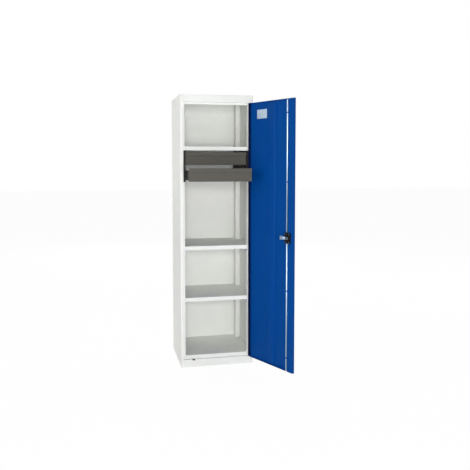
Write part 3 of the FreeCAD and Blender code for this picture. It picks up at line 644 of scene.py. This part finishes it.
class CABINET_OT_handle(bpy.types.Operator):
    """Outside handle: a moulded base with a sunk field, and a bowed lever on its hub"""

    bl_idname = "cabinet.handle"
    bl_label = "Handle"

    corner_share = 0.3  # of the base's width, taken by a corner's rounding
    bar_share = 2 / 3  # of the hub's width, taken by the lever's bar where it leaves the hub
    taper_share = 0.955  # of the bar's width, kept at each step towards its tip
    steps = 6  # lengths of the bar between the hub and the tip
    melted = math.radians(40)  # faces of the lever that meet at less than this are shaded as one curve

    def execute(self, context):
        sizes = context.scene.cabinet_sizes
        self.mould_base(sizes)
        self.mould_lever(sizes)
        return {"FINISHED"}

    def mould_base(self, sizes):
        """Escutcheon with rounded ends and a field sunk inside its rim."""
        low, high = shut_box("handle_base")
        base = add_block("handle_escutcheon", low, high)
        edit(base)
        pick("EDGE", lambda edge: near(middle(edge).y, (low.y + high.y) / 2))
        bpy.ops.mesh.bevel(offset=(high.x - low.x) * self.corner_share, segments=10, affect="EDGES")
        pick("FACE", lambda face: near(middle(face).y, low.y))
        bpy.ops.mesh.inset(thickness=sizes.field_inset, depth=0)
        bpy.ops.mesh.inset(thickness=sizes.field_slope, depth=-sizes.field_depth)
        done()
        cut(base, shaft_hole("spindle_hole", "handle_spindle", sizes, low.y - OVERRUN, high.y + OVERRUN))
        round_edges(base, sizes.base_round)
        smooth(base)
        dress(swing(base), "door", "black_plastic", "handle_base")

    def mould_lever(self, sizes):
        """Hub and tapering bar, melted into one moulding, with the bore for the key plug."""
        low, high = shut_box("handle_lever")
        plug_low, plug_high = shut_box("key_plug")
        axis = (plug_low + plug_high) / 2
        hub_radius = (high.x - low.x) / 2
        hub_top = axis.z + hub_radius
        lever = add_round("handle_grip", hub_radius, Vector((axis.x, low.y, axis.z)),
                          Vector((axis.x, high.y, axis.z)), sides=64)
        half_width = hub_radius * self.bar_share
        bar_back = (low.y + high.y) / 2
        bar = add_block("bar", Vector((axis.x - half_width, low.y, axis.z)),
                        Vector((axis.x + half_width, bar_back, hub_top)))
        edit(bar)
        rise = (high.z - hub_top) / self.steps
        for step in range(self.steps):
            bow = [sizes.lever_bow * math.sin(math.pi * place / self.steps) for place in (step, step + 1)]
            top = hub_top + step * rise
            pick("FACE", lambda face: near(middle(face).z, top) and face.normal.dot(UP) > FACING_SHARE)
            move = OUT * (bow[1] - bow[0]) + UP * rise
            bpy.ops.mesh.extrude_region_move(TRANSFORM_OT_translate={"value": move})
            bpy.ops.transform.resize(value=(self.taper_share, 1, 1),
                                     center_override=(axis.x, low.y, top + rise))
        done()
        round_edges(bar, sizes.lever_round)
        round_edges(lever, sizes.lever_round)
        modify(lever, "BOOLEAN", operation="UNION", solver="EXACT", object=bar)
        bpy.data.objects.remove(bar)
        modify(lever, "REMESH", mode="VOXEL", voxel_size=sizes.moulding)
        modify(lever, "SMOOTH", factor=0.5, iterations=6)
        bore = shaft_hole("plug_bore", "key_plug", sizes, low.y - sizes.lever_round,
                          plug_high.y + sizes.play)
        cut(lever, bore)
        smooth(lever, self.melted)
        dress(swing(lever), "handle", "black_plastic", "handle_lever")


class CABINET_OT_rivets(bpy.types.Operator):
    """Domed rivets that hold the small plate"""

    bl_idname = "cabinet.rivets"
    bl_label = "Rivets"

    def execute(self, context):
        shanks = solids("plate_rivets", SWING.inverted())
        low, high = shanks[0]
        radius = (high.x - low.x) / 2
        bpy.ops.mesh.primitive_uv_sphere_add(segments=24, ring_count=12, radius=radius)
        head = bpy.context.object
        head.scale.y = (high.y - low.y) / radius
        edit(settle(head))
        bpy.ops.mesh.select_all(action="SELECT")
        bpy.ops.mesh.bisect(plane_co=(0, 0, 0), plane_no=(0, 1, 0), clear_inner=True, use_fill=True)
        done()
        smooth(head)
        dress(swing(copies("rivet_heads", head, seats(shanks))), "door", "zinc_plate", "plate_rivets")
        return {"FINISHED"}


class CABINET_OT_screws(bpy.types.Operator):
    """Pan-head screws of the drawer carriers and of the lock case"""

    bl_idname = "cabinet.screws"
    bl_label = "Screws"

    dome_share = 0.6  # of a head's height, taken by its rounded rim
    recess_share = 0.6  # of a head's radius, reached by its cross recess

    def execute(self, context):
        sizes = context.scene.cabinet_sizes
        heads = solids("carrier_screws")
        low, high = heads[0]
        screw = self.pan_head((high.z - low.z) / 2, high.x - low.x, sizes)
        places = [self.on_carrier(low, high) for low, high in heads]
        dress(copies("carrier_screw_heads", screw, places), "carcass", "zinc_plate", "carrier_screws")
        heads = solids("lock_case_screws", SWING.inverted())
        low, high = heads[0]
        screw = self.pan_head((high.z - low.z) / 2, high.y - low.y, sizes)
        placed = copies("case_screw_heads", screw, seats(heads))
        dress(swing(placed), "door", "zinc_plate", "lock_case_screws")
        return {"FINISHED"}

    def on_carrier(self, low, high):
        """Foot of a head that looks from a carrier at the cabinet's middle, and the turn from +Y."""
        outer, turn = (high.x, 90) if high.x > 0 else (low.x, -90)
        return Vector((outer, (low.y + high.y) / 2, (low.z + high.z) / 2)), math.radians(turn)

    def pan_head(self, radius, depth, sizes):
        """A screw head at the origin that faces +Y."""
        face = Vector((0, depth, 0))
        head = add_round("screw", radius, Vector(), face, sides=32)
        edit(head)
        pick("EDGE", lambda edge: near(middle(edge).y, depth))
        bpy.ops.mesh.bevel(offset=min(depth, radius / 2) * self.dome_share, segments=3, affect="EDGES")
        done()
        arm = radius * self.recess_share
        half = sizes.recess / 2
        for reach in (Vector((arm, depth / 2, half)), Vector((half, depth / 2, arm))):
            cut(head, add_block("recess", face - reach, face + reach))
        smooth(head)
        return head


class CABINET_OT_buffers(bpy.types.Operator):
    """Rubber buffers with a rounded rim and a dished face"""

    bl_idname = "cabinet.buffers"
    bl_label = "Buffers"

    rim_share = 0.22  # of a buffer's radius, taken by its rim
    dish_share = 0.12  # of a buffer's height, sunk inside the rim

    def execute(self, context):
        studs = solids("door_buffers", SWING.inverted())
        low, high = studs[0]
        radius = (high.x - low.x) / 2
        height = high.y - low.y
        buffer = add_round("buffer", radius, Vector(), Vector((0, height, 0)), sides=40)
        edit(buffer)
        pick("EDGE", lambda edge: near(middle(edge).y, height))
        bpy.ops.mesh.bevel(offset=radius * self.rim_share, segments=4, affect="EDGES")
        pick("FACE", lambda face: near(middle(face).y, height))
        bpy.ops.mesh.inset(thickness=radius * self.rim_share, depth=0)
        bpy.ops.mesh.inset(thickness=radius * self.rim_share, depth=-height * self.dish_share)
        done()
        smooth(buffer)
        dress(swing(copies("buffer_studs", buffer, seats(studs))), "door", "buffer_rubber", "door_buffers")
        return {"FINISHED"}


class CABINET_OT_blade_bolt(bpy.types.Operator):
    """Hexagon bolt with its washer, which holds the latch blade on the spindle"""

    bl_idname = "cabinet.blade_bolt"
    bl_label = "Blade bolt"

    washer_share = 0.3  # of the whole height
    head_share = 0.92  # of the washer's radius

    def execute(self, context):
        sizes = context.scene.cabinet_sizes
        low, high = shut_box("blade_screw")
        axis = (low + high) / 2
        start, end = (Vector((axis.x, y, axis.z)) for y in (low.y, high.y))
        seat = start.lerp(end, self.washer_share)
        radius = (high.x - low.x) / 2
        washer = add_round("washer", radius, start, seat, sides=40)
        head = add_round("head", radius * self.head_share, seat, end, sides=6)
        for piece in (washer, head):
            round_edges(piece, sizes.bolt_round, segments=2)
        bolt = join("blade_bolt", [head, washer])
        smooth(bolt)
        dress(swing(bolt), "handle", "black_plastic", "blade_screw")
        return {"FINISHED"}


# Stage


class CABINET_OT_stage(bpy.types.Operator):
    """Pale floor, white surroundings, soft lamps and the camera"""

    bl_idname = "cabinet.stage"
    bl_label = "Stage"

    # Each lamp's place, its width, and the share of a colour's written brightness that it gives a surface
    # that faces it
    lamps = {
        "front": ((-0.85, -5.4, 1.6), 1.2, 0.27),
        "front_low": ((-0.6, -5.4, 1.0), 1.0, 0.17),
        "front_right": ((0.5, -5.4, 1.6), 1.2, 0.11),
        "slant": ((-2.0, -3.8, 4.4), 1.6, 0.07),
        "left": ((-6.0, -1.0, 2.0), 3.0, 0.29),
        "above": ((0.0, 1.0, 6.5), 3.0, 0.40),
        "right": ((5.5, 1.5, 2.2), 3.0, 0.31),
        "back": ((0.5, 6.5, 2.2), 3.0, 0.38),
    }
    aim = (0, 0, 1.0)  # what the lamps look at, near the cabinet's middle
    surroundings = 0.10  # strength of the world for the light that it sheds
    glow_share = 0.975  # of the floor, plain white to the camera, while the rest takes the shadow
    floor_size = 60

    # Camera fitted to the corners of the carcass and of the open door
    sensor_mm = 36
    lens_mm = 47.34
    shift_share = -0.06  # of the picture's side, by which the view is moved down
    camera_place = (-0.814, -4.589, 1.465)
    camera_turn = (math.radians(86.0), 0, math.radians(-12.29))

    def execute(self, context):
        self.lay_floor(context.scene.cabinet_paints.floor)
        self.light_world(context.scene)
        for name, (place, size, share) in self.lamps.items():
            self.hang_lamp(context.scene, name, Vector(place), size, share)
        self.place_camera(context.scene)
        context.scene.view_settings.view_transform = "Standard"
        return {"FINISHED"}

    def seen(self, tree):
        """1 for a ray from the camera, a reflection or a transmission: these see the white background."""
        path = add(tree, "ShaderNodeLightPath").outputs
        shiny = add(tree, "ShaderNodeMath", links={0: path["Is Camera Ray"], 1: path["Is Glossy Ray"]},
                    operation="MAXIMUM")
        return add(tree, "ShaderNodeMath", links={0: shiny.outputs[0], 1: path["Is Transmission Ray"]},
                   operation="MAXIMUM").outputs[0]

    def lay_floor(self, base):
        """Matt floor that is near white to the camera and still takes a shadow."""
        bpy.ops.mesh.primitive_plane_add(size=self.floor_size, location=(0, 0, 0))
        floor = bpy.context.object
        floor.name = "floor"
        tree, _ = new_finish("studio_floor")
        matt = add(tree, "ShaderNodeBsdfDiffuse", {"Color": shaded(base, 1)})
        glow = add(tree, "ShaderNodeEmission", {"Strength": 1})
        share = add(tree, "ShaderNodeMath", {1: self.glow_share}, {0: self.seen(tree)}, operation="MULTIPLY")
        mixed = add(tree, "ShaderNodeMixShader",
                    links={0: share.outputs[0], 1: matt.outputs[0], 2: glow.outputs[0]})
        add(tree, "ShaderNodeOutputMaterial", links={"Surface": mixed.outputs[0]})
        floor.data.materials.append(bpy.data.materials["studio_floor"])

    def light_world(self, scene):
        """White surroundings that shed a plain soft light."""
        world = bpy.data.worlds.new("studio")
        world.use_nodes = True
        tree = world.node_tree
        tree.nodes.clear()
        strength = add(tree, "ShaderNodeMapRange", {"To Min": self.surroundings, "To Max": 1},
                       {"Value": self.seen(tree)})
        light = add(tree, "ShaderNodeBackground", {"Color": (1, 1, 1, 1)},
                    {"Strength": strength.outputs["Result"]})
        add(tree, "ShaderNodeOutputWorld", links={"Surface": light.outputs[0]})
        scene.world = world

    def hang_lamp(self, scene, name, place, size, share):
        """Square soft lamp, with the watts that give a white surface facing it its share of full white."""
        aim = Vector(self.aim)
        data = bpy.data.lights.new(name, "AREA")
        data.size = size
        data.energy = share * (math.pi * (aim - place).length) ** 2
        lamp = bpy.data.objects.new(name, data)
        lamp.location = place
        lamp.rotation_euler = (aim - place).to_track_quat("-Z", "Y").to_euler()
        scene.collection.objects.link(lamp)

    def place_camera(self, scene):
        """Camera that sees the cabinet as the photograph does."""
        data = bpy.data.cameras.new("camera")
        data.sensor_width = self.sensor_mm
        data.lens = self.lens_mm
        data.shift_y = self.shift_share
        camera = bpy.data.objects.new("camera", data)
        camera.location = self.camera_place
        camera.rotation_euler = self.camera_turn
        scene.collection.objects.link(camera)
        scene.camera = camera


OPERATORS = (
    CABINET_OT_finishes,
    CABINET_OT_door_pan,
    CABINET_OT_drawer_fronts,
    CABINET_OT_handle,
    CABINET_OT_rivets,
    CABINET_OT_screws,
    CABINET_OT_buffers,
    CABINET_OT_blade_bolt,
    CABINET_OT_stage,
)


class CABINET_PT_sidebar(bpy.types.Panel):
    """Lists the steps that dress the cabinet"""

    bl_label = "Cabinet"
    bl_space_type = "VIEW_3D"
    bl_region_type = "UI"
    bl_category = "Cabinet"

    def draw(self, context):
        for operator in OPERATORS:
            self.layout.operator(operator.bl_idname)


CLASSES = (CabinetPaints, CabinetSizes, *OPERATORS, CABINET_PT_sidebar)


def register():
    for cls in CLASSES:
        bpy.utils.register_class(cls)
    bpy.types.Scene.cabinet_paints = PointerProperty(type=CabinetPaints)
    bpy.types.Scene.cabinet_sizes = PointerProperty(type=CabinetSizes)


def unregister():
    del bpy.types.Scene.cabinet_sizes
    del bpy.types.Scene.cabinet_paints
    for cls in reversed(CLASSES):
        bpy.utils.unregister_class(cls)


def main():
    register()
    bpy.ops.cabinet.finishes()
    bpy.ops.cabinet.door_pan()
    bpy.ops.cabinet.drawer_fronts()
    bpy.ops.cabinet.handle()
    bpy.ops.cabinet.rivets()
    bpy.ops.cabinet.screws()
    bpy.ops.cabinet.buffers()
    bpy.ops.cabinet.blade_bolt()
    bpy.ops.cabinet.stage()


if __name__ == "__main__":
    main()
